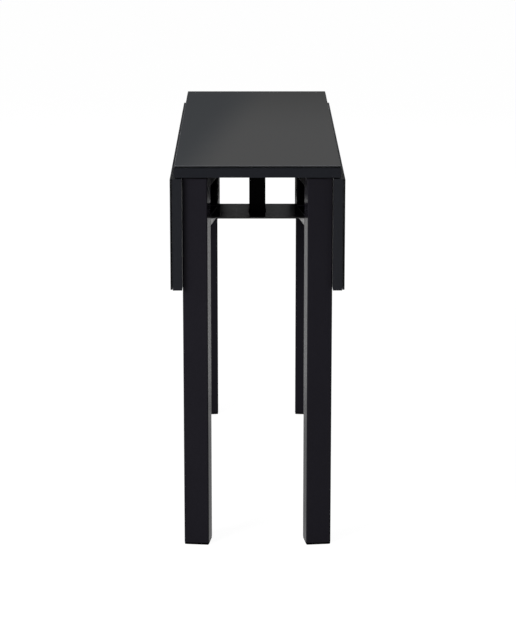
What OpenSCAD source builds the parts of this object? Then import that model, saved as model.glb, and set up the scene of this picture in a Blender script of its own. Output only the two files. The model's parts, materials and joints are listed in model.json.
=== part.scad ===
// Extending table with a glass-faced top, two drop leaves and four swinging gate legs.
// X is the table's width, Y its length and Z is up. The origin is on the floor, under the middle.
// Right is +X and front is -Y, the end that is nearer to the viewer.
// The model stands as it is stored: both leaves hang, and each gate leg rests against its leaf.

/* [Table] */
// Height of the top surface above the floor
table_h = 750; // [650:5:900]
// Width of the fixed centre of the top
top_w = 315; // [300:1:400]
// Length of the top and of both leaves
top_l = 1000; // [900:10:1400]
// Width of one leaf, from its hinged edge to its outer edge
leaf_w = 215; // [150:1:300]
// Gap between a raised leaf and the centre
leaf_gap = 2.5; // [2:0.25:4]

/* [Boards and glass] */
// Thickness of the lacquered boards
board_t = 18; // [16:0.5:22]
// Thickness of the glass
glass_t = 4; // [3:0.5:6]
// Thickness of the adhesive film between glass and board
bond_t = 0.5; // [0.3:0.1:1]
// How far the glass stays inside the edge of its board
glass_inset = 1; // [0:0.25:2]
// How far the adhesive film stays inside the edge of the glass
bond_inset = 4; // [2:0.5:10]
// Ground arris along the upper edges of the glass
glass_arris = 0.9; // [0.4:0.1:1.6]
// Bevel along the lower edges of the glass
glass_low_bevel = 0.3; // [0.1:0.1:0.6]
// Small bevel along the upper edges of the boards
board_bevel = 0.4; // [0.2:0.1:0.8]
// Bevel along the lower edges where leaf and centre pass each other
edge_bevel = 1.5; // [1.3:0.1:2.5]

/* [Leaf hinges] */
// Distance of the hinge axis from the edge and from the underside of the centre board
hinge_set = 7.25; // [7:0.05:8]
// Radius of the hinge knuckles
knuckle_r = 5.5; // [4.5:0.1:6]
// Diameter of the hinge pins
hinge_pin_d = 4; // [3:0.1:5]
// Length of one hinge
hinge_len = 60; // [50:1:90]
// Number of knuckles on one hinge
knuckles = 5; // [3:2:7]
// Number of hinges on each leaf
hinge_count = 3; // [2:1:4]
// Distance of the outer hinges from the ends of the top
hinge_end = 120; // [60:5:200]
// Reach of a flap from the hinge axis
flap_w = 40; // [34:1:44]
// Thickness of a flap, which is also the depth of its recess
flap_t = 2; // [1.5:0.1:3]

/* [Gates] */
// Side of the square leg tube
leg_w = 48; // [40:1:55]
// Wall of the leg tube
leg_wall = 1.5; // [1:0.25:3]
// Corner radius of the leg tube
leg_round = 3; // [1:0.25:4]
// Distance of the leg from the end of the top
leg_inset = 5; // [3:1:20]
// Angle at which the gates stand open against the hanging leaves
gate_angle = 7; // [2:0.5:8]
// Distance from the pivot axis to the far face of the leg
gate_reach = 164; // [150:1:200]
// Width and height of the square rails
rail_w = 20; // [16:1:24]
// Wall of the rails and of the upright
rail_wall = 1.5; // [1:0.25:2.5]
// Corner radius of the rails and of the upright
rail_round = 2; // [1:0.25:3]
// Width of the pivot upright along the gate
upright_w = 30; // [26:1:36]
// Distance from the top surface down to the upper rail
upper_rail_drop = 28; // [26:1:40]
// Distance from the top surface down to the lower rail
lower_rail_drop = 105; // [90:1:140]
// Height of the foot below the leg tube
foot_h = 4; // [3:0.5:10]
// Height of the cap on top of the leg tube
cap_h = 3; // [2:0.5:5]
// How far foot and cap stay inside the faces of the leg
foot_inset = 0.3; // [0.1:0.1:1.5]
// Depth of the foot's plug inside the leg tube
foot_plug_h = 18; // [8:1:40]
// Depth of the cap's plug inside the leg tube
cap_plug_h = 12; // [8:1:40]

/* [Hangers] */
// Thickness of the steel plates
plate_t = 3; // [2:0.5:5]
// Depth of the lower cross plate along the table
cross_plate_d = 142; // [120:1:160]
// Depth of the plate that is screwed under the top
top_plate_d = 110; // [100:1:140]
// How far the plates reach beyond the pivot axes
plate_margin = 18; // [16:1:19]
// How far the plates reach in front of the uprights
plate_lip = 2; // [1:0.5:6]
// Corner radius of the plates
plate_round = 4; // [1:0.5:8]
// Height of the lower rails above the cross plate
rail_gap = 2.5; // [2:0.25:5]
// Side of the square hanger post
post_w = 32; // [25:1:40]
// Diameter of the pivot rods
rod_d = 10; // [8:0.5:12]
// Diameter of the head under each pivot rod
rod_head_d = 18; // [15:1:22]
// Height of the head under each pivot rod
rod_head_h = 4; // [3:0.5:6]
// Depth of a bush inside the upright
bush_depth = 15; // [8:1:25]
// Thickness of the flange of a bush
bush_flange = 1.5; // [1:0.25:3]

/* [Screws] */
// Diameter of the flap screws
flap_screw_d = 3.5; // [3:0.1:4]
// Length of the flap screws
flap_screw_l = 12; // [8:0.5:13]
// Head diameter of the flap screws
flap_screw_head_d = 6.5; // [6:0.1:7.5]
// Distance of the flap screws from the ends of a flap
flap_screw_end = 12; // [8:1:20]
// Diameter of the plate screws
plate_screw_d = 4.5; // [4:0.1:5.5]
// Length of the plate screws below their heads
plate_screw_l = 16; // [12:0.5:17]
// Head diameter of the plate screws
plate_screw_head_d = 9; // [8:0.5:10]
// Head height of the plate screws
plate_screw_head_h = 2; // [1.5:0.1:2.2]
// Distance of the plate screws from the front and rear edges of the top plate
plate_screw_edge = 12; // [8:1:20]

/* [Fits] */
// Gap between pieces that move past each other
run_gap = 0.3; // [0.2:0.05:0.5]
// Radial play of a turning pin or rod
pin_play = 0.05; // [0.02:0.01:0.1]
// Radial play of a pin, rod or screw that stays still
seat_play = 0.02; // [0.01:0.01:0.05]
// Play round a hinge in its recess
recess_play = 0.5; // [0.3:0.1:1]
// Play of a plastic plug inside its tube
plug_play = 0.1; // [0.05:0.05:0.3]

/* [Hidden] */
$fn = 48;
eps = 0.5;

// Heights of the top, from the surface down
bond_z = table_h - glass_t - bond_t;
board_z = bond_z - board_t;

// Hinge axis, and the leaf measured from it
axis_x = top_w / 2 - hinge_set;
axis_z = board_z + hinge_set;
leaf_in = hinge_set + leaf_gap;
leaf_out = leaf_in + leaf_w;
leaf_hang_angle = 90;
leaf_face_x = axis_x - hinge_set;
knuckle_l = hinge_len / knuckles;
knuckle_gap = 0.3;
flap_relief = hinge_set + 1;
pocket_in = norm([knuckle_r, hinge_set]) + recess_play;
pocket_top = knuckle_r + recess_play;
pin_end = 0.5;
pocket_l = hinge_len + 2 * (pin_end + recess_play);
flap_screw_x = (leaf_in + flap_w) / 2;
flap_screw_y = hinge_len / 2 - flap_screw_end;
hinge_step = (top_l - 2 * hinge_end) / (hinge_count - 1);
hinge_ys = [for (i = [0 : hinge_count - 1]) -top_l / 2 + hinge_end + i * hinge_step];

// Hangers and gates, from the underside of the board down
top_plate_z = board_z - plate_t;
lower_rail_z = table_h - lower_rail_drop - rail_w;
upper_rail_z = table_h - upper_rail_drop - rail_w;
cross_z = lower_rail_z - rail_gap;
cross_low_z = cross_z - plate_t;
bush_low_z = cross_z + run_gap;
upright_low_z = bush_low_z + bush_flange;
bush_top_z = top_plate_z - run_gap;
upright_top_z = bush_top_z - bush_flange;
leg_top_z = board_z - run_gap - cap_h;
rail_half = rail_w / 2;
leg_in_x = -rail_half;
leg_out_x = leg_in_x + leg_w;
leg_back_y = gate_reach - leg_w;
pivot_x = leaf_face_x - run_gap - gate_reach * sin(gate_angle) - leg_out_x * cos(gate_angle);
pivot_y = top_l / 2 - leg_inset - gate_reach * cos(gate_angle) - rail_half * sin(gate_angle);
plate_half_w = pivot_x + plate_margin;
plate_front_y = pivot_y + upright_w / 2 + plate_lip;
post_y = plate_front_y - cross_plate_d / 2;
rod_head_taper = 3;

// Screws: conical tips, cross slots, and the room left below each tip
screw_tip_l = 2;
screw_tip_d = 1;
screw_room = 0.5;
head_sink = 0.1;
head_taper = 3;
slot_w = 0.9;
flap_slot_depth = 0.8;
plate_slot_depth = 1.2;
plate_screw_x = (plate_half_w + post_w) / 3;
plate_screw_ys = [plate_front_y - plate_screw_edge, plate_front_y - top_plate_d + plate_screw_edge];

board_black = [0.13, 0.14, 0.15];
glass_black = [0.20, 0.22, 0.24];
bond_grey = [0.10, 0.10, 0.10];
steel_black = [0.12, 0.11, 0.13];
plastic_black = [0.07, 0.07, 0.07];
zinc = [0.62, 0.62, 0.60];
bush_black = [0.09, 0.09, 0.10];

// Placing. A side is -1 for left and 1 for right, an end is -1 for front and 1 for rear.

module on_side(side) {
    mirror([side < 0 ? 1 : 0, 0, 0]) children();
}

module on_end(end) {
    mirror([0, end > 0 ? 1 : 0, 0]) children();
}

// Moves a piece that is drawn round the hinge axis to the right edge of the centre board
module at_axis() {
    translate([axis_x, 0, axis_z]) children();
}

// The same, for a piece of the leaf, which is drawn level and hangs down
module as_leaf(side) {
    on_side(side) at_axis() rotate([0, leaf_hang_angle, 0]) children();
}

// Moves a piece that is drawn round the pivot of the front right gate to any of the four gates
module as_gate(side, end) {
    on_side(side) on_end(end) translate([pivot_x, -pivot_y, 0]) rotate([0, 0, gate_angle]) children();
}

// Shapes that repeat

// A rectangle with round corners, centred
module round_rect(w, d, r) {
    square([w - 2 * r, d], center = true);
    square([w, d - 2 * r], center = true);
    for (x = [-1, 1], y = [-1, 1]) translate([x * (w / 2 - r), y * (d / 2 - r)]) circle(r);
}

// Radius of the corners inside a tube
function inner_round(r, wall) = max(r - wall, 0.25);

// A square or oblong tube, centred, from z = 0 up
module tube(w, d, wall, r, h) {
    difference() {
        linear_extrude(h) round_rect(w, d, r);
        translate([0, 0, -eps]) linear_extrude(h + 2 * eps)
            round_rect(w - 2 * wall, d - 2 * wall, inner_round(r, wall));
    }
}

// A flat panel from x0 to x1, over the given length, with bevels along its upper and lower edges
module panel(x0, x1, l, t, top_bevel, low_bevel) {
    intersection() {
        rotate([90, 0, 0]) translate([0, 0, -l / 2]) linear_extrude(l)
            polygon([[x0, low_bevel], [x0 + low_bevel, 0], [x1 - low_bevel, 0], [x1, low_bevel],
                [x1, t - top_bevel], [x1 - top_bevel, t], [x0 + top_bevel, t], [x0, t - top_bevel]]);
        rotate([90, 0, 90]) translate([0, 0, x0 - eps]) linear_extrude(x1 - x0 + 2 * eps)
            polygon([[-l / 2, 0], [l / 2, 0], [l / 2, t - top_bevel], [l / 2 - top_bevel, t],
                [-l / 2 + top_bevel, t], [-l / 2, t - top_bevel]]);
    }
}

// A countersunk screw that points up, with its head's face at z = 0
module flap_screw() {
    difference() {
        union() {
            cylinder(h = flap_t - head_sink, d1 = flap_screw_head_d, d2 = flap_screw_d);
            cylinder(h = flap_screw_l - screw_tip_l, d = flap_screw_d);
            translate([0, 0, flap_screw_l - screw_tip_l])
                cylinder(h = screw_tip_l, d1 = flap_screw_d, d2 = screw_tip_d);
        }
        for (a = [0, 90]) rotate([0, 0, a])
            translate([-flap_screw_head_d / 3, -slot_w / 2, -eps])
                cube([flap_screw_head_d * 2 / 3, slot_w, eps + flap_slot_depth]);
    }
}

// The hole that a flap screw needs, drawn with its mouth at z = 0
module flap_screw_hole() {
    translate([0, 0, -eps])
        cylinder(h = eps + head_sink + flap_screw_l + screw_room, d = flap_screw_d + 2 * seat_play);
    translate([0, 0, -eps]) cylinder(h = flap_t + eps,
        d1 = flap_screw_head_d + 2 * seat_play + 2 * eps, d2 = flap_screw_d + 2 * seat_play);
}

// Where the hinges sit along the edge
module each_hinge() {
    for (y = hinge_ys) translate([0, y, 0]) children();
}

// Where the two screws of a flap sit, drawn from the hinge axis
module each_flap_screw(dir) {
    for (y = [-1, 1]) translate([dir * flap_screw_x, y * flap_screw_y, -hinge_set]) children();
}

// One flap with its knuckles. dir is -1 for the fixed flap and 1 for the leaf's, first is its first knuckle.
module flap(dir, first, bore_r) {
    difference() {
        union() {
            translate([dir > 0 ? flap_relief : -flap_w, -hinge_len / 2, -hinge_set])
                cube([flap_w - flap_relief, hinge_len, flap_t]);
            for (i = [first : 2 : knuckles - 1]) {
                y0 = -hinge_len / 2 + i * knuckle_l + knuckle_gap / 2;
                width = knuckle_l - knuckle_gap;
                translate([dir > 0 ? 0 : -flap_relief - eps, y0, -hinge_set])
                    cube([flap_relief + eps, width, flap_t]);
                translate([dir > 0 ? 0 : -knuckle_r, y0, -hinge_set]) cube([knuckle_r, width, hinge_set]);
                translate([0, y0, 0]) rotate([-90, 0, 0]) cylinder(h = width, r = knuckle_r);
            }
        }
        translate([0, -hinge_len / 2 - eps, 0]) rotate([-90, 0, 0])
            cylinder(h = hinge_len + 2 * eps, r = bore_r);
        each_flap_screw(dir) flap_screw_hole();
    }
}

// The pocket and recess for one hinge in the edge of the centre board, drawn from the hinge axis
module fixed_mortise() {
    translate([-pocket_in, -pocket_l / 2, -hinge_set - eps])
        cube([pocket_in + hinge_set + eps, pocket_l, hinge_set + eps + pocket_top]);
    translate([-flap_w - recess_play, -hinge_len / 2 - recess_play, -hinge_set - eps])
        cube([flap_w + recess_play, hinge_len + 2 * recess_play, flap_t + eps]);
    each_flap_screw(-1) flap_screw_hole();
}

// The recess for one hinge in the underside of a leaf
module leaf_mortise() {
    translate([leaf_in - eps, -hinge_len / 2 - recess_play, -hinge_set - eps])
        cube([flap_w - leaf_in + eps + recess_play, hinge_len + 2 * recess_play, flap_t + eps]);
    each_flap_screw(1) flap_screw_hole();
}

// Where the screws of a hanger's top plate sit
module each_plate_screw() {
    for (x = [-1, 1], y = plate_screw_ys) translate([x * plate_screw_x, -y, top_plate_z]) children();
}

module plate_screw_hole() {
    translate([0, 0, -eps]) cylinder(h = plate_t + plate_screw_l + eps, d = plate_screw_d + 2 * seat_play);
}

// The centre of the top

module centre_board() {
    color(board_black) difference() {
        translate([0, 0, board_z]) panel(-top_w / 2, top_w / 2, top_l, board_t, board_bevel, edge_bevel);
        for (side = [-1, 1]) on_side(side) at_axis() each_hinge() fixed_mortise();
        for (end = [-1, 1]) on_end(end) each_plate_screw() plate_screw_hole();
    }
}

module centre_bond() {
    w = top_w / 2 - glass_inset - bond_inset;
    color(bond_grey) translate([-w, -top_l / 2 + glass_inset + bond_inset, bond_z])
        cube([2 * w, top_l - 2 * (glass_inset + bond_inset), bond_t]);
}

module centre_glass() {
    w = top_w / 2 - glass_inset;
    color(glass_black) translate([0, 0, bond_z + bond_t])
        panel(-w, w, top_l - 2 * glass_inset, glass_t, glass_arris, glass_low_bevel);
}

// The leaf hinges

module fixed_flaps(side) {
    color(zinc) on_side(side) at_axis() each_hinge() flap(-1, 0, hinge_pin_d / 2 + seat_play);
}

module hinge_pins(side) {
    color(zinc) on_side(side) at_axis() each_hinge()
        translate([0, -hinge_len / 2 - pin_end, 0]) rotate([-90, 0, 0])
            cylinder(h = hinge_len + 2 * pin_end, d = hinge_pin_d);
}

module fixed_screws(side) {
    color(zinc) on_side(side) at_axis() each_hinge() each_flap_screw(-1)
        translate([0, 0, head_sink]) flap_screw();
}

// A leaf, drawn level from the hinge axis

module leaf_board(side) {
    color(board_black) as_leaf(side) difference() {
        translate([0, 0, -hinge_set]) panel(leaf_in, leaf_out, top_l, board_t, board_bevel, board_bevel);
        each_hinge() leaf_mortise();
    }
}

module leaf_bond(side) {
    inset = glass_inset + bond_inset;
    color(bond_grey) as_leaf(side)
        translate([leaf_in + inset, -top_l / 2 + inset, board_t - hinge_set])
            cube([leaf_w - 2 * inset, top_l - 2 * inset, bond_t]);
}

module leaf_glass(side) {
    color(glass_black) as_leaf(side) translate([0, 0, board_t + bond_t - hinge_set])
        panel(leaf_in + glass_inset, leaf_out - glass_inset, top_l - 2 * glass_inset,
            glass_t, glass_arris, glass_low_bevel);
}

module leaf_flaps(side) {
    color(zinc) as_leaf(side) each_hinge() flap(1, 1, hinge_pin_d / 2 + pin_play);
}

module leaf_screws(side) {
    color(zinc) as_leaf(side) each_hinge() each_flap_screw(1) translate([0, 0, head_sink]) flap_screw();
}

// A hanger: a plate under the top, a post, and a cross plate that carries two gates

module hanger_plate(depth, z, screwed) {
    difference() {
        translate([0, -plate_front_y + depth / 2, z])
            linear_extrude(plate_t) round_rect(2 * plate_half_w, depth, plate_round);
        for (x = [-1, 1]) translate([x * pivot_x, -pivot_y, z - eps])
            cylinder(h = plate_t + 2 * eps, d = rod_d + 2 * seat_play);
        if (screwed) each_plate_screw() plate_screw_hole();
    }
}

module top_plate(end) {
    color(steel_black) on_end(end) hanger_plate(top_plate_d, top_plate_z, true);
}

module cross_plate(end) {
    color(steel_black) on_end(end) hanger_plate(cross_plate_d, cross_low_z, false);
}

module post(end) {
    color(steel_black) on_end(end) translate([0, -post_y, cross_z])
        tube(post_w, post_w, rail_wall, leg_round, top_plate_z - cross_z);
}

module pivot_rods(end) {
    color(steel_black) on_end(end) for (x = [-1, 1]) translate([x * pivot_x, -pivot_y, 0]) {
        translate([0, 0, cross_low_z]) cylinder(h = board_z - cross_low_z, d = rod_d);
        translate([0, 0, cross_low_z - rod_head_h])
            cylinder(h = rod_head_h, d1 = rod_head_d - rod_head_taper, d2 = rod_head_d);
    }
}

module plate_screws(end) {
    shank_l = plate_t + plate_screw_l - screw_room - screw_tip_l;
    color(zinc) on_end(end) each_plate_screw() difference() {
        union() {
            cylinder(h = shank_l, d = plate_screw_d);
            translate([0, 0, shank_l]) cylinder(h = screw_tip_l, d1 = plate_screw_d, d2 = screw_tip_d);
            translate([0, 0, -plate_screw_head_h])
                cylinder(
                    h = plate_screw_head_h,
                    d1 = plate_screw_head_d - head_taper,
                    d2 = plate_screw_head_d
                );
        }
        for (a = [0, 90]) rotate([0, 0, a])
            translate([-plate_screw_head_d / 4, -slot_w / 2, -plate_screw_head_h - eps])
                cube([plate_screw_head_d / 2, slot_w, plate_slot_depth + eps]);
    }
}

// A gate, drawn round its pivot, with its leg towards -Y and outwards to +X

module leg(side, end) {
    color(steel_black) as_gate(side, end)
        translate([leg_in_x + leg_w / 2, -leg_back_y - leg_w / 2, foot_h])
            tube(leg_w, leg_w, leg_wall, leg_round, leg_top_z - foot_h);
}

// A plastic end piece for the leg tube: a plug and a flange
module leg_end(flange_h, plug_h) {
    flange_w = leg_w - 2 * foot_inset;
    plug_w = leg_w - 2 * leg_wall - 2 * plug_play;
    translate([leg_in_x + leg_w / 2, -leg_back_y - leg_w / 2, 0]) {
        linear_extrude(flange_h) round_rect(flange_w, flange_w, leg_round);
        translate([0, 0, flange_h]) linear_extrude(plug_h)
            round_rect(plug_w, plug_w, inner_round(leg_round, leg_wall));
    }
}

module foot(side, end) {
    color(plastic_black) as_gate(side, end) leg_end(foot_h, foot_plug_h);
}

module cap(side, end) {
    color(plastic_black) as_gate(side, end)
        translate([0, 0, leg_top_z + cap_h]) mirror([0, 0, 1]) leg_end(cap_h, cap_plug_h);
}

module upright(side, end) {
    color(steel_black) as_gate(side, end) translate([0, 0, upright_low_z])
        tube(rail_w, upright_w, rail_wall, rail_round, upright_top_z - upright_low_z);
}

// One flanged bush with its flange at the bottom
module bush() {
    difference() {
        union() {
            linear_extrude(bush_flange) round_rect(rail_w, upright_w, rail_round);
            translate([0, 0, bush_flange]) linear_extrude(bush_depth)
                round_rect(rail_w - 2 * (rail_wall + plug_play), upright_w - 2 * (rail_wall + plug_play),
                    inner_round(rail_round, rail_wall));
        }
        translate([0, 0, -eps]) cylinder(h = bush_flange + bush_depth + 2 * eps, d = rod_d + 2 * pin_play);
    }
}

module bushes(side, end) {
    color(bush_black) as_gate(side, end) {
        translate([0, 0, bush_low_z]) bush();
        translate([0, 0, bush_top_z]) mirror([0, 0, 1]) bush();
    }
}

module rail(side, end, z) {
    length = leg_back_y - upright_w / 2;
    color(steel_black) as_gate(side, end)
        translate([0, -upright_w / 2, z + rail_w / 2]) rotate([90, 0, 0])
            tube(rail_w, rail_w, rail_wall, rail_round, length);
}

centre_board();
centre_bond();
centre_glass();
top_plate(-1);  // front_top_plate
post(-1);  // front_post
cross_plate(-1);  // front_cross_plate
pivot_rods(-1);  // front_pivot_rods
plate_screws(-1);  // front_plate_screws
top_plate(1);  // rear_top_plate
post(1);  // rear_post
cross_plate(1);  // rear_cross_plate
pivot_rods(1);  // rear_pivot_rods
plate_screws(1);  // rear_plate_screws
fixed_flaps(-1);  // left_fixed_flaps
hinge_pins(-1);  // left_hinge_pins
fixed_screws(-1);  // left_fixed_screws
fixed_flaps(1);  // right_fixed_flaps
hinge_pins(1);  // right_hinge_pins
fixed_screws(1);  // right_fixed_screws
leaf_board(-1);  // left_leaf_board
leaf_bond(-1);  // left_leaf_bond
leaf_glass(-1);  // left_leaf_glass
leaf_flaps(-1);  // left_leaf_flaps
leaf_screws(-1);  // left_leaf_screws
leaf_board(1);  // right_leaf_board
leaf_bond(1);  // right_leaf_bond
leaf_glass(1);  // right_leaf_glass
leaf_flaps(1);  // right_leaf_flaps
leaf_screws(1);  // right_leaf_screws
leg(-1, -1);  // front_left_leg
foot(-1, -1);  // front_left_foot
cap(-1, -1);  // front_left_cap
upright(-1, -1);  // front_left_upright
bushes(-1, -1);  // front_left_bushes
rail(-1, -1, upper_rail_z);  // front_left_upper_rail
rail(-1, -1, lower_rail_z);  // front_left_lower_rail
leg(1, -1);  // front_right_leg
foot(1, -1);  // front_right_foot
cap(1, -1);  // front_right_cap
upright(1, -1);  // front_right_upright
bushes(1, -1);  // front_right_bushes
rail(1, -1, upper_rail_z);  // front_right_upper_rail
rail(1, -1, lower_rail_z);  // front_right_lower_rail
leg(-1, 1);  // rear_left_leg
foot(-1, 1);  // rear_left_foot
cap(-1, 1);  // rear_left_cap
upright(-1, 1);  // rear_left_upright
bushes(-1, 1);  // rear_left_bushes
rail(-1, 1, upper_rail_z);  // rear_left_upper_rail
rail(-1, 1, lower_rail_z);  // rear_left_lower_rail
leg(1, 1);  // rear_right_leg
foot(1, 1);  // rear_right_foot
cap(1, 1);  // rear_right_cap
upright(1, 1);  // rear_right_upright
bushes(1, 1);  // rear_right_bushes
rail(1, 1, upper_rail_z);  // rear_right_upper_rail
rail(1, 1, lower_rail_z);  // rear_right_lower_rail
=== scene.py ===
"""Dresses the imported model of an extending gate-leg table with a glass-faced top."""

import json
import math

import bmesh
import bpy
from bpy.props import FloatProperty, FloatVectorProperty, PointerProperty
from mathutils import Matrix, Vector


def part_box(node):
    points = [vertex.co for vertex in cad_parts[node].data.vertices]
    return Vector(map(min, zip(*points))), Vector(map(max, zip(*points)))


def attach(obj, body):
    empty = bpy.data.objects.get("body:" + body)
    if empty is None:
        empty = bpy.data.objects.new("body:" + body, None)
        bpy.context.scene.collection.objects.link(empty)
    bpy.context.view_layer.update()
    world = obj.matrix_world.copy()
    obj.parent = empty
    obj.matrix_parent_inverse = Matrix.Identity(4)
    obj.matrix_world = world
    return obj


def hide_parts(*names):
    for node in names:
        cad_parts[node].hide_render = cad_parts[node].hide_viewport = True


bl_info = {
    "name": "Glass Gate-Leg Table",
    "version": (1, 0, 0),
    "blender": (4, 5, 0),
    "location": "View3D > Sidebar > Table",
    "description": "Builds the glass, welds, feet and finishes of an extending gate-leg table",
    "category": "Object",
}

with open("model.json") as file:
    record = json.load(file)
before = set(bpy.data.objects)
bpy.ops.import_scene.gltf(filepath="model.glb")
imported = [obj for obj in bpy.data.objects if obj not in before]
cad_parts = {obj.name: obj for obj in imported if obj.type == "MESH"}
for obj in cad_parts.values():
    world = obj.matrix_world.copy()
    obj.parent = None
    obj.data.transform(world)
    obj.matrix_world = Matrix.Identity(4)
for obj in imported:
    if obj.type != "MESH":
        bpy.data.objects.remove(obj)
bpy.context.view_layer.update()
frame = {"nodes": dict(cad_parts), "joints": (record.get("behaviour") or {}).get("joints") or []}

SIDES = {"left": -1, "right": 1}
ENDS = {"front": -1, "rear": 1}
JOINTS = {joint["name"]: joint for joint in frame["joints"]}
PIVOT = Vector(JOINTS["rear_right_gate_pivot"]["pos_m"])

# Which finish of the glass a band of its profile takes
FACE, GROUND, EDGE = 0, 1, 2
# How many flat facets make the ground arris
ARRIS_FACETS = 3
# Play of the foot's plug in its tube
PLUG_PLAY = 0.0001
# How far a weld bead stops short of a rail's edge
WELD_STOP = 0.001
# The angle from which the faces of a bead shade sharp
WELD_SHARP = math.radians(60)
# The points in one ripple of a bead, and how much a ripple swells it
RIPPLE_POINTS = 4
RIPPLE_SWELL = 0.12
# The share of its radius that a bead has at a free end, and what it gains at each point from there
BEAD_TIP = 0.4
BEAD_GAIN = 0.25
# Width of the camera's sensor in millimetres
SENSOR = 36
# The studio as gloss shows it, by the upward and sideways parts of a direction.
# Upward parts between which white ends, and between which the wall gets lighter
HORIZON = (0.02, 0.12)
WALL_RISE = (0.1, 0.3)
# A light panel on the wall: where it begins upwards, and the slope, place and softness of its leaning edge
PANEL_RISE = (0.128, 0.158)
PANEL_SLOPE = 0.78
PANEL_EDGE = 0.1086
PANEL_SOFT = 0.011
# Distances from the middle of the table between which the floor, as gloss shows it, gets lighter
FLOOR_SHADE = (0.25, 0.9)
# The two greys of the floor's matt part, and how many clouds of them lie in a metre
FLOOR_GREYS = ((0.9, 0.9, 0.9), (0.94, 0.94, 0.94))
FLOOR_CLOUDS = 0.7
# Each lamp's place, its width and its share of the key power, and the point at which they all aim
LAMPS = {
    "key": ((-2.6, -3.0, 1.7), 1.8, 1.0),
    "fill": ((2.6, -2.6, 1.6), 2.0, 0.1),
    "back": ((0.8, 3.4, 2.8), 1.6, 0.25),
}
LAMP_TARGET = Vector((0, 0, 0.5))


# Sizes and colours


class TableSizes(bpy.types.PropertyGroup):
    """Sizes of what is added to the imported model"""

    glass_corner: FloatProperty(
        name="Glass corner", description="Radius of the corners of the glass",
        default=0.0015, min=0.0005, max=0.01, unit="LENGTH")
    arris: FloatProperty(
        name="Arris", description="Width of the ground edge round each sheet of glass",
        default=0.0009, min=0.0003, max=0.002, unit="LENGTH")
    gate_angle: FloatProperty(
        name="Gate angle", description="Angle at which the gates stand open against the hanging leaves",
        default=math.radians(7), min=0, max=math.radians(10), subtype="ANGLE")
    gate_reach: FloatProperty(
        name="Gate reach", description="Distance from a pivot to the far face of its leg",
        default=0.164, min=0.1, max=0.2, unit="LENGTH")
    leg_width: FloatProperty(
        name="Leg width", description="Side of the square legs",
        default=0.048, min=0.03, max=0.06, unit="LENGTH")
    rail_width: FloatProperty(
        name="Rail width", description="Side of the square rails",
        default=0.02, min=0.01, max=0.03, unit="LENGTH")
    upright_width: FloatProperty(
        name="Upright width", description="Width of a pivot upright along its gate",
        default=0.03, min=0.02, max=0.04, unit="LENGTH")
    weld_radius: FloatProperty(
        name="Weld radius", description="Radius of a weld bead",
        default=0.0013, min=0.0005, max=0.003, unit="LENGTH")
    weld_ripple: FloatProperty(
        name="Weld ripple", description="Length of one ripple of a weld bead",
        default=0.0022, min=0.001, max=0.01, unit="LENGTH")
    low_bevel: FloatProperty(
        name="Low bevel", description="Bevel along the lower edges of the glass",
        default=0.0003, min=0.0001, max=0.001, unit="LENGTH")
    leg_wall: FloatProperty(
        name="Leg wall", description="Wall of the leg tube, inside which the plug of a foot fits",
        default=0.0015, min=0.001, max=0.003, unit="LENGTH")
    leg_corner: FloatProperty(
        name="Leg corner", description="Radius of the corners of a leg and its foot",
        default=0.003, min=0.001, max=0.004, unit="LENGTH")
    foot_height: FloatProperty(
        name="Foot height", description="Height of a foot below its leg",
        default=0.004, min=0.002, max=0.01, unit="LENGTH")
    foot_inset: FloatProperty(
        name="Foot inset", description="How far a foot stays inside the faces of its leg",
        default=0.0003, min=0.0001, max=0.002, unit="LENGTH")
    foot_bevel: FloatProperty(
        name="Foot bevel", description="Bevel round the sole of a foot",
        default=0.0006, min=0.0002, max=0.002, unit="LENGTH")
    sole_rim: FloatProperty(
        name="Sole rim", description="Width of the rim round the hollow in the sole of a foot",
        default=0.008, min=0.004, max=0.015, unit="LENGTH")
    sole_hollow: FloatProperty(
        name="Sole hollow", description="Depth of the hollow in the sole of a foot",
        default=0.0012, min=0.0005, max=0.003, unit="LENGTH")


class TableColours(bpy.types.PropertyGroup):
    """Colours of the finishes"""

    glass: FloatVectorProperty(
        name="Glass", description="Colour of the painted glass",
        default=(0.0074, 0.0086, 0.0096), min=0, max=1, subtype="COLOR")
    glass_arris: FloatVectorProperty(
        name="Glass arris", description="Colour of the ground arris of the glass",
        default=(0.13, 0.13, 0.142), min=0, max=1, subtype="COLOR")
    glass_edge: FloatVectorProperty(
        name="Glass edge", description="Colour of the polished edge of the glass",
        default=(0.0008, 0.0013, 0.0012), min=0, max=1, subtype="COLOR")
    lacquer: FloatVectorProperty(
        name="Lacquer", description="Colour of the lacquered board of the middle",
        default=(0.0094, 0.0102, 0.0132), min=0, max=1, subtype="COLOR")
    # Painted light: the leaves' boards are the same lacquer as the middle board, painted lighter for the
    # light that falls on them
    leaf_lacquer: FloatVectorProperty(
        name="Leaf lacquer", description="Colour of the lacquered boards of the leaves, a little lighter",
        default=(0.0119, 0.0127, 0.0157), min=0, max=1, subtype="COLOR")
    powder: FloatVectorProperty(
        name="Powder coat", description="Colour of the powder-coated legs and of the welds of the gates",
        default=(0.0124, 0.0116, 0.0154), min=0, max=1, subtype="COLOR")
    # Painted shade: the hangers, rods, and rails and uprights of the gates are painted far darker than the
    # legs' coat, for the shade under the top
    hanger: FloatVectorProperty(
        name="Hanger paint", description="Colour of the hangers, rods, and rails and uprights of the gates",
        default=(0.0007, 0.0006, 0.0007), min=0, max=1, subtype="COLOR")
    gloss: FloatVectorProperty(
        name="Gloss paint", description="Colour of the glossy cross plates",
        default=(0.0060, 0.0042, 0.0046), min=0, max=1, subtype="COLOR")
    plastic: FloatVectorProperty(
        name="Plastic", description="Colour of the feet, caps and bushes",
        default=(0.0008, 0.0008, 0.0008), min=0, max=1, subtype="COLOR")
    adhesive: FloatVectorProperty(
        name="Adhesive", description="Colour of the film between glass and board",
        default=(0.004, 0.004, 0.004), min=0, max=1, subtype="COLOR")
    zinc: FloatVectorProperty(
        name="Zinc", description="Colour of the plated hinges and screws",
        default=(0.40, 0.41, 0.42), min=0, max=1, subtype="COLOR")


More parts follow.
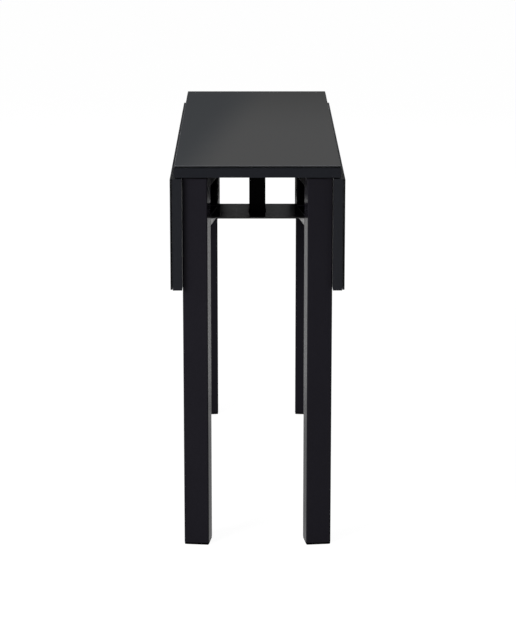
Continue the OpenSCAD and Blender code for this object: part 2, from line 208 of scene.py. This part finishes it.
class StageSettings(bpy.types.PropertyGroup):
    """Camera and studio"""

    distance: FloatProperty(
        name="Distance", description="Distance of the camera before the middle of the table",
        default=4.954, min=1, max=20, unit="LENGTH")
    eye_height: FloatProperty(
        name="Eye height", description="Height of the camera above the floor",
        default=1.519, min=0.2, max=4, unit="LENGTH")
    aside: FloatProperty(
        name="Aside", description="Distance of the camera to the right of the table's middle",
        default=-0.0098, min=-1, max=1, unit="LENGTH")
    tilt: FloatProperty(
        name="Tilt", description="Angle at which the camera looks down",
        default=0.235, min=0, max=1.5, subtype="ANGLE")
    turn: FloatProperty(
        name="Turn", description="Angle at which the camera is turned to the left",
        default=-0.0024, min=-1, max=1, subtype="ANGLE")
    focal: FloatProperty(
        name="Focal length", description="Focal length of the camera in millimetres",
        default=135.2, min=20, max=400)
    room_light: FloatProperty(
        name="Room light", description="Strength of the even light of the room",
        default=0.29, min=0, max=2)
    wall_foot: FloatProperty(
        name="Wall foot", description="Brightness of the wall just above the horizon, as gloss shows it",
        default=0.068, min=0, max=1)
    wall_top: FloatProperty(
        name="Wall top", description="Brightness of the upper wall and ceiling, as gloss shows it",
        default=0.23, min=0, max=1)
    wall_tint: FloatVectorProperty(
        name="Wall tint", description="Tint of the wall beside the light panel",
        default=(0.95, 1.0, 1.07), min=0, max=2, subtype="COLOR")
    panel_light: FloatProperty(
        name="Panel light", description="How much lighter than the wall the panel is, as gloss shows it",
        default=0.06, min=0, max=1)
    floor_reach: FloatProperty(
        name="Floor reach", description="Half the width of the floor",
        default=40, min=5, max=100, unit="LENGTH")
    floor_glow: FloatProperty(
        name="Floor glow", description="Strength of the white that camera and gloss see in the floor",
        default=1.17, min=0, max=2)
    floor_shadow: FloatProperty(
        name="Floor shadow", description="Share of real shading in the floor, from none to all",
        default=0.2, min=0, max=1)
    floor_shade: FloatProperty(
        name="Floor shade", description="How much darker the floor under the table is, as gloss shows it",
        default=0.55, min=0, max=1)
    key_power: FloatProperty(
        name="Key power", description="Power of the main lamp, at the front left, in watts",
        default=114, min=0, max=500)


# Shader maths


class Wire:
    """An output socket of a node tree. Arithmetic on it adds Math nodes."""

    def __init__(self, nodes, socket):
        self.nodes = nodes
        self.socket = socket

    def math(self, operation, *values):
        return self.nodes.add("Math", values, {"operation": operation})

    def __add__(self, other):
        return self.math("ADD", self, other)

    def __radd__(self, other):
        return self.math("ADD", other, self)

    def __sub__(self, other):
        return self.math("SUBTRACT", self, other)

    def __rsub__(self, other):
        return self.math("SUBTRACT", other, self)

    def __mul__(self, other):
        return self.math("MULTIPLY", self, other)

    def __rmul__(self, other):
        return self.math("MULTIPLY", other, self)

    def at_most(self, other):
        return self.math("MINIMUM", self, other)


class Nodes:
    """A node tree that is filled by one method, add."""

    def __init__(self, tree):
        self.tree = tree
        tree.nodes.clear()

    def add(self, kind, inputs=(), settings=None, output=0):
        """Adds a node. Its settings are set first, then its sockets, by name or in order."""
        node = self.tree.nodes.new("ShaderNode" + kind)
        for name, value in (settings or {}).items():
            setattr(node, name, value)
        named = inputs.items() if isinstance(inputs, dict) else enumerate(inputs)
        for name, value in named:
            self.join(node.inputs[name], value)
        return Wire(self, node.outputs[output]) if node.outputs else None

    def join(self, target, value):
        """Gives a socket a link, or a plain value with an alpha where it wants one."""
        if isinstance(value, Wire):
            self.tree.links.new(value.socket, target)
        elif target.type == "RGBA":
            target.default_value = (*value, 1.0)
        else:
            target.default_value = value

    def outputs(self, wire):
        """All the outputs of the node that this wire comes from."""
        return {socket.name: Wire(self, socket) for socket in wire.socket.node.outputs}

    def mix(self, factor, low, high):
        """A colour between two colours, for which a Mix node has its inputs 6 and 7 and its output 2."""
        return self.add("Mix", {0: factor, 6: low, 7: high}, {"data_type": "RGBA"}, 2)

    def noise(self, scale, detail=2.0, roughness=0.5, stretch=(1.0, 1.0, 1.0)):
        """Noise from 0 to 1 with this many cells in a metre, fixed to the piece."""
        place = self.add("TexCoord", output="Object")
        where = self.add("VectorMath", (place, stretch), {"operation": "MULTIPLY"})
        inputs = {"Vector": where, "Scale": scale, "Detail": detail, "Roughness": roughness}
        return self.add("TexNoise", inputs)

    def ramp(self, value, low, high, kind="SMOOTHSTEP"):
        """0 below low and 1 above high."""
        inputs = {"Value": value, "From Min": low, "From Max": high}
        return self.add("MapRange", inputs, {"interpolation_type": kind})

    def bump(self, height, distance):
        """Bumps from a height, where distance is what a height of 1 stands for in metres."""
        return self.add("Bump", {"Height": height, "Distance": distance})

    def seen_by(self, *rays):
        """1 for these kinds of ray and 0 for all others."""
        path = self.outputs(self.add("LightPath"))
        return sum(path[f"Is {ray} Ray"] for ray in rays).at_most(1.0)


def scaled(colour, factor):
    """The colour made lighter or darker."""
    return [part * factor for part in colour]


def finish(name, build, fixed):
    """A material. build gives what changes over the surface, and fixed holds the plain values."""
    material = bpy.data.materials.new(name)
    material.use_nodes = True
    nodes = Nodes(material.node_tree)
    surface = nodes.add("BsdfPrincipled", {**fixed, **build(nodes)})
    nodes.add("OutputMaterial", {"Surface": surface})
    return material


# Finishes


def painted_glass(colour):
    """The polished face of black glass, with a faint wipe mark and dust."""

    def build(nodes):
        smear = nodes.noise(7.0, detail=4.0, roughness=0.6, stretch=(1.0, 0.35, 1.0))
        wiped = nodes.ramp(smear, 0.45, 0.8)
        dust = nodes.ramp(nodes.noise(2400.0, detail=1.0), 0.7, 0.76)
        return {
            "Base Color": nodes.mix(dust * 0.5 + wiped * 0.25, colour, scaled(colour, 1.5)),
            "Roughness": 0.03 + wiped * 0.035 + dust * 0.05,
            "Normal": nodes.bump(nodes.noise(12.0, detail=1.0), 0.00003),
        }

    return finish("painted_glass", build, {"IOR": 1.5})


def ground_glass(colour):
    """The ground arris of the glass, matt and light."""

    def build(nodes):
        grit = nodes.noise(2600.0, detail=3.0, roughness=0.7)
        run = nodes.noise(180.0)
        return {
            "Base Color": nodes.mix(run, scaled(colour, 0.85), scaled(colour, 1.15)),
            "Roughness": 0.6 + grit * 0.15,
            "Normal": nodes.bump(grit, 0.00003),
        }

    return finish("ground_glass", build, {"Specular IOR Level": 0.08})


def edge_glass(colour):
    """The dark edge of the glass below its arris."""

    def build(nodes):
        depth = nodes.noise(90.0)
        return {
            "Base Color": nodes.mix(depth, scaled(colour, 0.7), scaled(colour, 1.3)),
            "Roughness": 0.16 + depth * 0.1,
            "Normal": nodes.bump(depth, 0.00003),
        }

    return finish("edge_glass", build, {"Specular IOR Level": 0.02})


def satin_lacquer(name, colour):
    """Sprayed black lacquer over a board, with orange peel and a trace of its fibres."""

    def build(nodes):
        peel = nodes.noise(700.0)
        cloud = nodes.noise(6.0, detail=3.0)
        fibre = nodes.noise(70.0, detail=3.0, roughness=0.6, stretch=(1.0, 0.12, 1.0))
        return {
            "Base Color": nodes.mix(cloud * 0.5 + fibre * 0.3, scaled(colour, 0.85), scaled(colour, 1.3)),
            "Roughness": 0.34 + cloud * 0.08 + fibre * 0.05,
            "Normal": nodes.bump(peel + fibre * 0.4, 0.000025),
        }

    return finish(name, build, {"Specular IOR Level": 0.08})


def powder_coat(name, colour, roughness, specular, ripple=0.0):
    """Baked powder on steel, with fine grain. ripple adds the coarser texture of a coated weld."""

    def build(nodes):
        grain = nodes.noise(1500.0, detail=3.0, roughness=0.6)
        cloud = nodes.noise(4.0)
        speck = nodes.ramp(nodes.noise(3000.0, detail=1.0), 0.6, 0.72)
        height = grain + ripple * nodes.noise(400.0) if ripple else grain
        return {
            "Base Color": nodes.mix(speck * 0.4 + cloud * 0.4, scaled(colour, 0.85), scaled(colour, 1.45)),
            "Roughness": roughness + grain * 0.06 + cloud * 0.03,
            "Normal": nodes.bump(height, 0.00002),
        }

    return finish(name, build, {"Specular IOR Level": specular})


def gloss_paint(colour):
    """The glossy paint of the cross plates."""

    def build(nodes):
        peel = nodes.noise(220.0)
        cloud = nodes.noise(12.0, detail=3.0)
        return {
            "Base Color": nodes.mix(cloud, scaled(colour, 0.8), scaled(colour, 1.3)),
            "Roughness": 0.13 + cloud * 0.08,
            "Normal": nodes.bump(peel, 0.00002),
        }

    return finish("gloss_paint", build, {"Specular IOR Level": 0.27})


def moulded_plastic(colour):
    """Black plastic with the spark texture of its mould."""

    def build(nodes):
        spark = nodes.noise(2200.0, detail=3.0, roughness=0.7)
        flow = nodes.noise(40.0)
        return {
            "Base Color": nodes.mix(flow, scaled(colour, 0.8), scaled(colour, 1.4)),
            "Roughness": 0.42 + spark * 0.12,
            "Normal": nodes.bump(spark, 0.00004),
        }

    return finish("moulded_plastic", build, {"Specular IOR Level": 0.02})


def zinc_plate(colour):
    """Bright zinc with its spangle, drawn lines and dull patches."""

    def build(nodes):
        spangle = nodes.noise(350.0, detail=3.0, roughness=0.6)
        drawn = nodes.noise(1500.0, stretch=(1.0, 0.05, 1.0))
        dull = nodes.ramp(nodes.noise(30.0, detail=3.0), 0.45, 0.7)
        return {
            "Base Color": nodes.mix(spangle * 0.5 + dull * 0.5, colour, scaled(colour, 0.72)),
            "Roughness": 0.26 + spangle * 0.1 + dull * 0.12,
            "Normal": nodes.bump(drawn + spangle * 0.5, 0.00002),
        }

    return finish("zinc_plate", build, {"Metallic": 1.0})


def adhesive_film(colour):
    """The dark film between glass and board."""

    def build(nodes):
        cell = nodes.noise(600.0, detail=3.0, roughness=0.6)
        return {
            "Base Color": nodes.mix(cell, scaled(colour, 0.6), scaled(colour, 1.4)),
            "Roughness": 0.7 + cell * 0.2,
            "Normal": nodes.bump(cell, 0.00005),
        }

    return finish("adhesive_film", build, {"Specular IOR Level": 0.1})


def paint_nodes(material, *ends):
    """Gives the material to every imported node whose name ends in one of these."""
    for name, obj in frame["nodes"].items():
        if name.endswith(ends):
            obj.data.materials.clear()
            obj.data.materials.append(material)


# Shapes


def new_piece(name, mesh, *materials, smooth=None):
    """Makes an object of a bmesh, with smooth shading up to an angle where one is given."""
    data = bpy.data.meshes.new(name)
    bmesh.ops.recalc_face_normals(mesh, faces=mesh.faces)
    mesh.to_mesh(data)
    mesh.free()
    obj = bpy.data.objects.new(name, data)
    bpy.context.scene.collection.objects.link(obj)
    if smooth is not None:
        data.shade_smooth()
        data.set_sharp_from_angle(angle=smooth)
        # The many-sided ends of a bead stay flat
        for polygon in data.polygons:
            polygon.use_smooth = len(polygon.vertices) <= 4
    for material in materials:
        data.materials.append(material)
    return obj


def round_outline(width, depth, radius, steps=4):
    """Points round a rectangle with round corners, centred on the origin."""
    points = []
    corners = ((1, 1, 0), (-1, 1, 90), (-1, -1, 180), (1, -1, 270))
    for x, y, start in corners:
        centre = Vector((x * (width / 2 - radius), y * (depth / 2 - radius)))
        for step in range(steps + 1):
            angle = math.radians(start + 90 * step / steps)
            points.append(centre + radius * Vector((math.cos(angle), math.sin(angle))))
    return points


def stacked_slab(width, depth, corner, levels):
    """A closed slab of outlines. levels gives each outline's inset, its height and the finish above it."""
    mesh = bmesh.new()
    rings = []
    for inset, height, _ in levels:
        outline = round_outline(width - 2 * inset, depth - 2 * inset, corner)
        rings.append([mesh.verts.new((*point, height)) for point in outline])
    for low, high, (_, _, index) in zip(rings, rings[1:], levels):
        for i in range(len(low)):
            j = (i + 1) % len(low)
            mesh.faces.new((low[i], low[j], high[j], high[i])).material_index = index
    mesh.faces.new(rings[0][::-1])
    mesh.faces.new(rings[-1]).material_index = levels[-1][2]
    return mesh


def pane_levels(thickness, arris, low_bevel):
    """The profile of the glass: a small bevel, a polished edge and a ground arris in flat facets."""
    steps = [math.radians(90 * step / ARRIS_FACETS) for step in range(ARRIS_FACETS + 1)]
    arc = [(arris * (1 - math.cos(a)), thickness - arris * (1 - math.sin(a))) for a in steps]
    ground = [(inset, height, GROUND) for inset, height in arc[:-1]]
    return [(low_bevel, 0.0, GROUND), (0.0, low_bevel, EDGE), *ground, (*arc[-1], FACE)]


def pane(name, node, hanging, materials, sizes):
    """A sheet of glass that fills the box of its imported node, level or hanging with its face outwards."""
    low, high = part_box(node)
    size = high - low
    middle = (low + high) / 2
    if hanging:
        outward = math.copysign(1, middle.x)
        across, thickness = size.z, size.x
        base = Vector((middle.x - outward * thickness / 2, middle.y, middle.z))
        turn = Matrix.Translation(base) @ Matrix.Rotation(outward * math.pi / 2, 4, "Y")
    else:
        across, thickness = size.x, size.z
        turn = Matrix.Translation((middle.x, middle.y, low.z))
    levels = pane_levels(thickness, sizes.arris, sizes.low_bevel)
    mesh = stacked_slab(across, size.y, sizes.glass_corner, levels)
    mesh.transform(turn)
    piece = new_piece(name, mesh, *materials)
    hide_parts(node)
    return piece


def foot_levels(sizes):
    """The profile of a foot: the hollow in its sole, the rim, the flange and the plug inside the leg."""
    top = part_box("front_left_foot")[1].z
    plug = sizes.leg_wall + PLUG_PLAY
    profile = [
        (sizes.foot_inset + sizes.sole_rim + sizes.sole_hollow, sizes.sole_hollow),
        (sizes.foot_inset + sizes.sole_rim, 0.0),
        (sizes.foot_inset + sizes.foot_bevel, 0.0),
        (sizes.foot_inset, sizes.foot_bevel),
        (sizes.foot_inset, sizes.foot_height),
        (plug, sizes.foot_height),
        (plug, top - sizes.foot_bevel),
        (plug + sizes.foot_bevel, top),
    ]
    return [(inset, height, 0) for inset, height in profile]


def gate_place(side, end, sizes):
    """From a gate's own frame, with its leg towards -Y and +X, to the table's frame."""
    mirror = Matrix.Diagonal((side, -end, 1, 1))
    shift = Matrix.Translation((PIVOT.x, -PIVOT.y, 0))
    return mirror @ shift @ Matrix.Rotation(sizes.gate_angle, 4, "Z")


def bead_rings(path, closed, ripple):
    """Points close together along a path, with the direction of the bead at each."""
    points = []
    for start, stop in zip(path, path[1:] + path[:1] if closed else path[1:]):
        count = max(2, round((stop - start).length / (ripple / RIPPLE_POINTS)))
        points += [start.lerp(stop, i / count) for i in range(count)]
    if closed:
        return [(point, points[(i + 1) % len(points)] - points[i - 1]) for i, point in enumerate(points)]
    points.append(path[-1])
    last = len(points) - 1
    return [(point, points[min(i + 1, last)] - points[max(i - 1, 0)]) for i, point in enumerate(points)]


def weld_bead(mesh, path, sizes, closed=False, sides=8):
    """Adds a bead along a path of corner points, rippled, and tapered where its ends are free."""
    steps = bead_rings(path, closed, sizes.weld_ripple)
    rings = []
    for i, (point, along) in enumerate(steps):
        across = along.cross(along.orthogonal()).normalized()
        upward = along.cross(across).normalized()
        radius = sizes.weld_radius * (1 + RIPPLE_SWELL * math.sin(2 * math.pi * i / RIPPLE_POINTS))
        if not closed:
            radius *= min(1.0, BEAD_TIP + BEAD_GAIN * min(i, len(steps) - 1 - i))
        ring = []
        for side in range(sides):
            angle = 2 * math.pi * side / sides
            spoke = math.cos(angle) * across + math.sin(angle) * upward
            ring.append(mesh.verts.new(point + radius * spoke))
        rings.append(ring)
    pairs = list(zip(rings, rings[1:]))
    if closed:
        pairs.append((rings[-1], rings[0]))
    for low, high in pairs:
        skew = min(range(sides), key=lambda s: (high[s].co - low[0].co).length)
        for i in range(sides):
            j = (i + 1) % sides
            mesh.faces.new((low[i], low[j], high[(j + skew) % sides], high[(i + skew) % sides]))
    if not closed:
        mesh.faces.new(rings[0][::-1])
        mesh.faces.new(rings[-1])


def gate_welds(sizes, rails):
    """The beads of one gate in its own frame, at the leg and at the upright."""
    mesh = bmesh.new()
    half = sizes.rail_width / 2
    leg_y = sizes.leg_width - sizes.gate_reach
    upright_y = -sizes.upright_width / 2
    for low, high in rails:
        at_leg = [(-half, low.z), (half, low.z), (half, high.z), (-half, high.z)]
        weld_bead(mesh, [Vector((x, leg_y, z)) for x, z in at_leg], sizes)
        for z in (low.z, high.z):
            weld_bead(mesh, [Vector((x, upright_y, z)) for x in (-half + WELD_STOP, half - WELD_STOP)], sizes)
    return mesh


def hanger_welds(sizes, low, high):
    """The beads round the two ends of a post."""
    mesh = bmesh.new()
    corners = [(low.x, low.y), (high.x, low.y), (high.x, high.y), (low.x, high.y)]
    for z in (low.z, high.z):
        weld_bead(mesh, [Vector((x, y, z)) for x, y in corners], sizes, closed=True)
    return mesh


# Operators


class TABLE_OT_glass(bpy.types.Operator):
    """Replaces the three plain sheets with glass that has a ground arris"""

    bl_idname = "table.glass"
    bl_label = "Glass"

    def execute(self, context):
        sizes, colours = context.scene.table_sizes, context.scene.table_colours
        finishes = (
            painted_glass(colours.glass),
            ground_glass(colours.glass_arris),
            edge_glass(colours.glass_edge),
        )
        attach(pane("centre_pane", "centre_glass", False, finishes, sizes), "root")
        for side in SIDES:
            leaf_pane = pane(f"{side}_leaf_pane", f"{side}_leaf_glass", True, finishes, sizes)
            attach(leaf_pane, f"{side}_leaf")
        return {"FINISHED"}


class TABLE_OT_boards(bpy.types.Operator):
    """Gives the boards their lacquer and the film under the glass its finish"""

    bl_idname = "table.boards"
    bl_label = "Boards and film"

    def execute(self, context):
        colours = context.scene.table_colours
        paint_nodes(satin_lacquer("middle_lacquer", colours.lacquer), "centre_board")
        # The leaves' boards take their lacquer painted lighter, as painted light
        paint_nodes(satin_lacquer("leaf_lacquer", colours.leaf_lacquer), "_leaf_board")
        paint_nodes(adhesive_film(colours.adhesive), "_bond")
        return {"FINISHED"}


class TABLE_OT_steel(bpy.types.Operator):
    """Gives the gates, hangers and rods their black coats; the rails, uprights, hangers and rods get a black
    painted far darker for the shade under the top
    """

    bl_idname = "table.steel"
    bl_label = "Painted steel"

    def execute(self, context):
        colours = context.scene.table_colours
        paint_nodes(powder_coat("leg_coat", colours.powder, roughness=0.08, specular=0.014), "_leg")
        # Painted shade: the rails, uprights, hangers and rods take the near-black paint darkened for the
        # shade under the top
        paint_nodes(powder_coat("rail_coat", colours.hanger, roughness=0.05, specular=0.06), "_lower_rail")
        paint_nodes(powder_coat("upright_coat", colours.hanger, roughness=0.1, specular=0.035), "_upright")
        inner = ("_upper_rail", "_post", "_top_plate", "_rods")
        paint_nodes(powder_coat("inner_coat", colours.hanger, roughness=0.42, specular=0.02), *inner)
        paint_nodes(gloss_paint(colours.gloss), "_cross_plate")
        return {"FINISHED"}


class TABLE_OT_welds(bpy.types.Operator):
    """Adds the weld beads of the gates and hangers"""

    bl_idname = "table.welds"
    bl_label = "Welds"

    def execute(self, context):
        sizes, colours = context.scene.table_sizes, context.scene.table_colours
        on_gate = powder_coat("gate_weld", colours.powder, roughness=0.34, specular=0.05, ripple=0.6)
        # Painted shade: the hangers' welds take the same near-black paint, darkened for the shade under the
        # top
        on_shaded_hanger = powder_coat("hanger_weld", colours.hanger, roughness=0.4, specular=0.03, ripple=0.6)
        for end_name, end in ENDS.items():
            for side_name, side in SIDES.items():
                gate = f"{end_name}_{side_name}"
                mesh = gate_welds(sizes, [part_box(f"{gate}_{level}_rail") for level in ("upper", "lower")])
                mesh.transform(gate_place(side, end, sizes))
                welds = new_piece(f"{gate}_welds", mesh, on_gate, smooth=WELD_SHARP)
                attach(welds, f"{gate}_gate")
            mesh = hanger_welds(sizes, *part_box(f"{end_name}_post"))
            welds = new_piece(f"{end_name}_hanger_welds", mesh, on_shaded_hanger, smooth=WELD_SHARP)
            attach(welds, "root")
        return {"FINISHED"}


class TABLE_OT_feet(bpy.types.Operator):
    """Replaces the plain feet with moulded ones and finishes the caps and bushes"""

    bl_idname = "table.feet"
    bl_label = "Feet, caps and bushes"

    def execute(self, context):
        sizes = context.scene.table_sizes
        plastic = moulded_plastic(context.scene.table_colours.plastic)
        paint_nodes(plastic, "_cap", "_bushes")
        leg_x = (sizes.leg_width - sizes.rail_width) / 2
        leg_y = sizes.leg_width / 2 - sizes.gate_reach
        in_gate = Matrix.Translation((leg_x, leg_y, 0))
        for end_name, end in ENDS.items():
            for side_name, side in SIDES.items():
                gate = f"{end_name}_{side_name}"
                mesh = stacked_slab(sizes.leg_width, sizes.leg_width, sizes.leg_corner, foot_levels(sizes))
                mesh.transform(gate_place(side, end, sizes) @ in_gate)
                foot = new_piece(f"{gate}_moulded_foot", mesh, plastic)
                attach(foot, f"{gate}_gate")
                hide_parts(f"{gate}_foot")
        return {"FINISHED"}


class TABLE_OT_metal(bpy.types.Operator):
    """Finishes the hinges and screws in zinc plate"""

    bl_idname = "table.metal"
    bl_label = "Hinges and screws"

    def execute(self, context):
        paint_nodes(zinc_plate(context.scene.table_colours.zinc), "_flaps", "_pins", "_screws")
        return {"FINISHED"}


class TABLE_OT_stage(bpy.types.Operator):
    """Makes the floor, the studio light and the camera"""

    bl_idname = "table.stage"
    bl_label = "Stage"

    def execute(self, context):
        stage = context.scene.table_stage
        self.make_floor(stage)
        self.make_world(context.scene, stage)
        self.make_lamps(stage)
        self.make_camera(context.scene, stage)
        context.scene.view_settings.view_transform = "Standard"
        return {"FINISHED"}

    def make_floor(self, stage):
        """A pale floor with a faint shadow, white to the camera, and to gloss darker under the table."""
        mesh = bmesh.new()
        bmesh.ops.create_grid(mesh, x_segments=8, y_segments=8, size=stage.floor_reach)
        material = bpy.data.materials.new("floor")
        material.use_nodes = True
        nodes = Nodes(material.node_tree)
        pale = nodes.mix(nodes.noise(FLOOR_CLOUDS), *FLOOR_GREYS)
        matt = nodes.add("BsdfDiffuse", {"Color": pale})
        where = nodes.add("TexCoord", output="Object")
        from_middle = nodes.add("VectorMath", [where], {"operation": "LENGTH"}, "Value")
        away = nodes.ramp(from_middle, *FLOOR_SHADE)
        shaded = nodes.seen_by("Glossy", "Transmission") * (1 - away) * stage.floor_shade
        white = nodes.add("Emission", {"Color": (1, 1, 1), "Strength": (1 - shaded) * stage.floor_glow})
        seen = nodes.seen_by("Camera", "Glossy", "Transmission")
        shader = nodes.add("MixShader", (seen * (1 - stage.floor_shadow), matt, white))
        nodes.add("OutputMaterial", {"Surface": shader})
        new_piece("floor", mesh, material)

    def make_world(self, scene, stage):
        """White to the camera, even grey light on matt surfaces, and a darker wall that gloss shows."""
        world = bpy.data.worlds.new("studio")
        world.use_nodes = True
        scene.world = world
        nodes = Nodes(world.node_tree)
        where = nodes.add("SeparateXYZ", [nodes.add("TexCoord", output="Generated")])
        axes = nodes.outputs(where)
        across, up = axes["X"], axes["Z"]
        panel_edge = nodes.ramp(across + PANEL_SLOPE * up, PANEL_EDGE - PANEL_SOFT, PANEL_EDGE + PANEL_SOFT)
        panel = panel_edge * nodes.ramp(up, *PANEL_RISE) * stage.panel_light
        wall = nodes.ramp(up, *WALL_RISE, "LINEAR") * (stage.wall_top - stage.wall_foot) + stage.wall_foot
        low = 1.0 - nodes.ramp(up, *HORIZON)
        gloss_level = low + (1.0 - low) * (wall + panel)
        tint = nodes.mix((panel_edge + low).at_most(1.0), stage.wall_tint, (1, 1, 1))
        camera = nodes.seen_by("Camera")
        gloss = nodes.seen_by("Glossy", "Transmission")
        level = camera + gloss * gloss_level + (1.0 - camera - gloss) * stage.room_light
        background = nodes.add("Background", {"Color": nodes.mix(gloss, (1, 1, 1), tint), "Strength": level})
        nodes.add("OutputWorld", {"Surface": background})

    def make_lamps(self, stage):
        """A large key lamp at the front left, and weaker ones right and behind. Gloss shows none of them."""
        for name, (place, width, share) in LAMPS.items():
            data = bpy.data.lights.new(name, "AREA")
            data.size = width
            data.energy = stage.key_power * share
            lamp = bpy.data.objects.new(name, data)
            lamp.visible_glossy = False
            lamp.location = place
            lamp.rotation_euler = (LAMP_TARGET - Vector(place)).to_track_quat("-Z", "Y").to_euler()
            bpy.context.scene.collection.objects.link(lamp)

    def make_camera(self, scene, stage):
        """The camera before the front end of the table, above its top and tilted down."""
        data = bpy.data.cameras.new("camera")
        data.lens = stage.focal
        data.sensor_width = SENSOR
        camera = bpy.data.objects.new("camera", data)
        camera.location = (stage.aside, -stage.distance, stage.eye_height)
        camera.rotation_euler = (math.pi / 2 - stage.tilt, 0, stage.turn)
        scene.collection.objects.link(camera)
        scene.camera = camera


class TABLE_PT_panel(bpy.types.Panel):
    """Lists the steps that dress the table"""

    bl_label = "Glass table"
    bl_idname = "TABLE_PT_panel"
    bl_space_type = "VIEW_3D"
    bl_region_type = "UI"
    bl_category = "Table"

    def draw(self, context):
        for operator in OPERATORS:
            self.layout.operator(operator.bl_idname)
        for group in ("table_sizes", "table_colours", "table_stage"):
            settings = getattr(context.scene, group)
            box = self.layout.box()
            for name in settings.bl_rna.properties.keys():
                if name not in ("rna_type", "name"):
                    box.prop(settings, name)


GROUPS = {"table_sizes": TableSizes, "table_colours": TableColours, "table_stage": StageSettings}
OPERATORS = (TABLE_OT_stage, TABLE_OT_boards, TABLE_OT_glass, TABLE_OT_steel, TABLE_OT_welds,
             TABLE_OT_feet, TABLE_OT_metal)
CLASSES = (*GROUPS.values(), *OPERATORS, TABLE_PT_panel)


def register():
    for cls in CLASSES:
        bpy.utils.register_class(cls)
    for name, cls in GROUPS.items():
        setattr(bpy.types.Scene, name, PointerProperty(type=cls))


def unregister():
    for name in GROUPS:
        delattr(bpy.types.Scene, name)
    for cls in reversed(CLASSES):
        bpy.utils.unregister_class(cls)


def main():
    register()
    bpy.ops.table.stage()
    bpy.ops.table.boards()
    bpy.ops.table.glass()
    bpy.ops.table.steel()
    bpy.ops.table.welds()
    bpy.ops.table.feet()
    bpy.ops.table.metal()


if __name__ == "__main__":
    main()
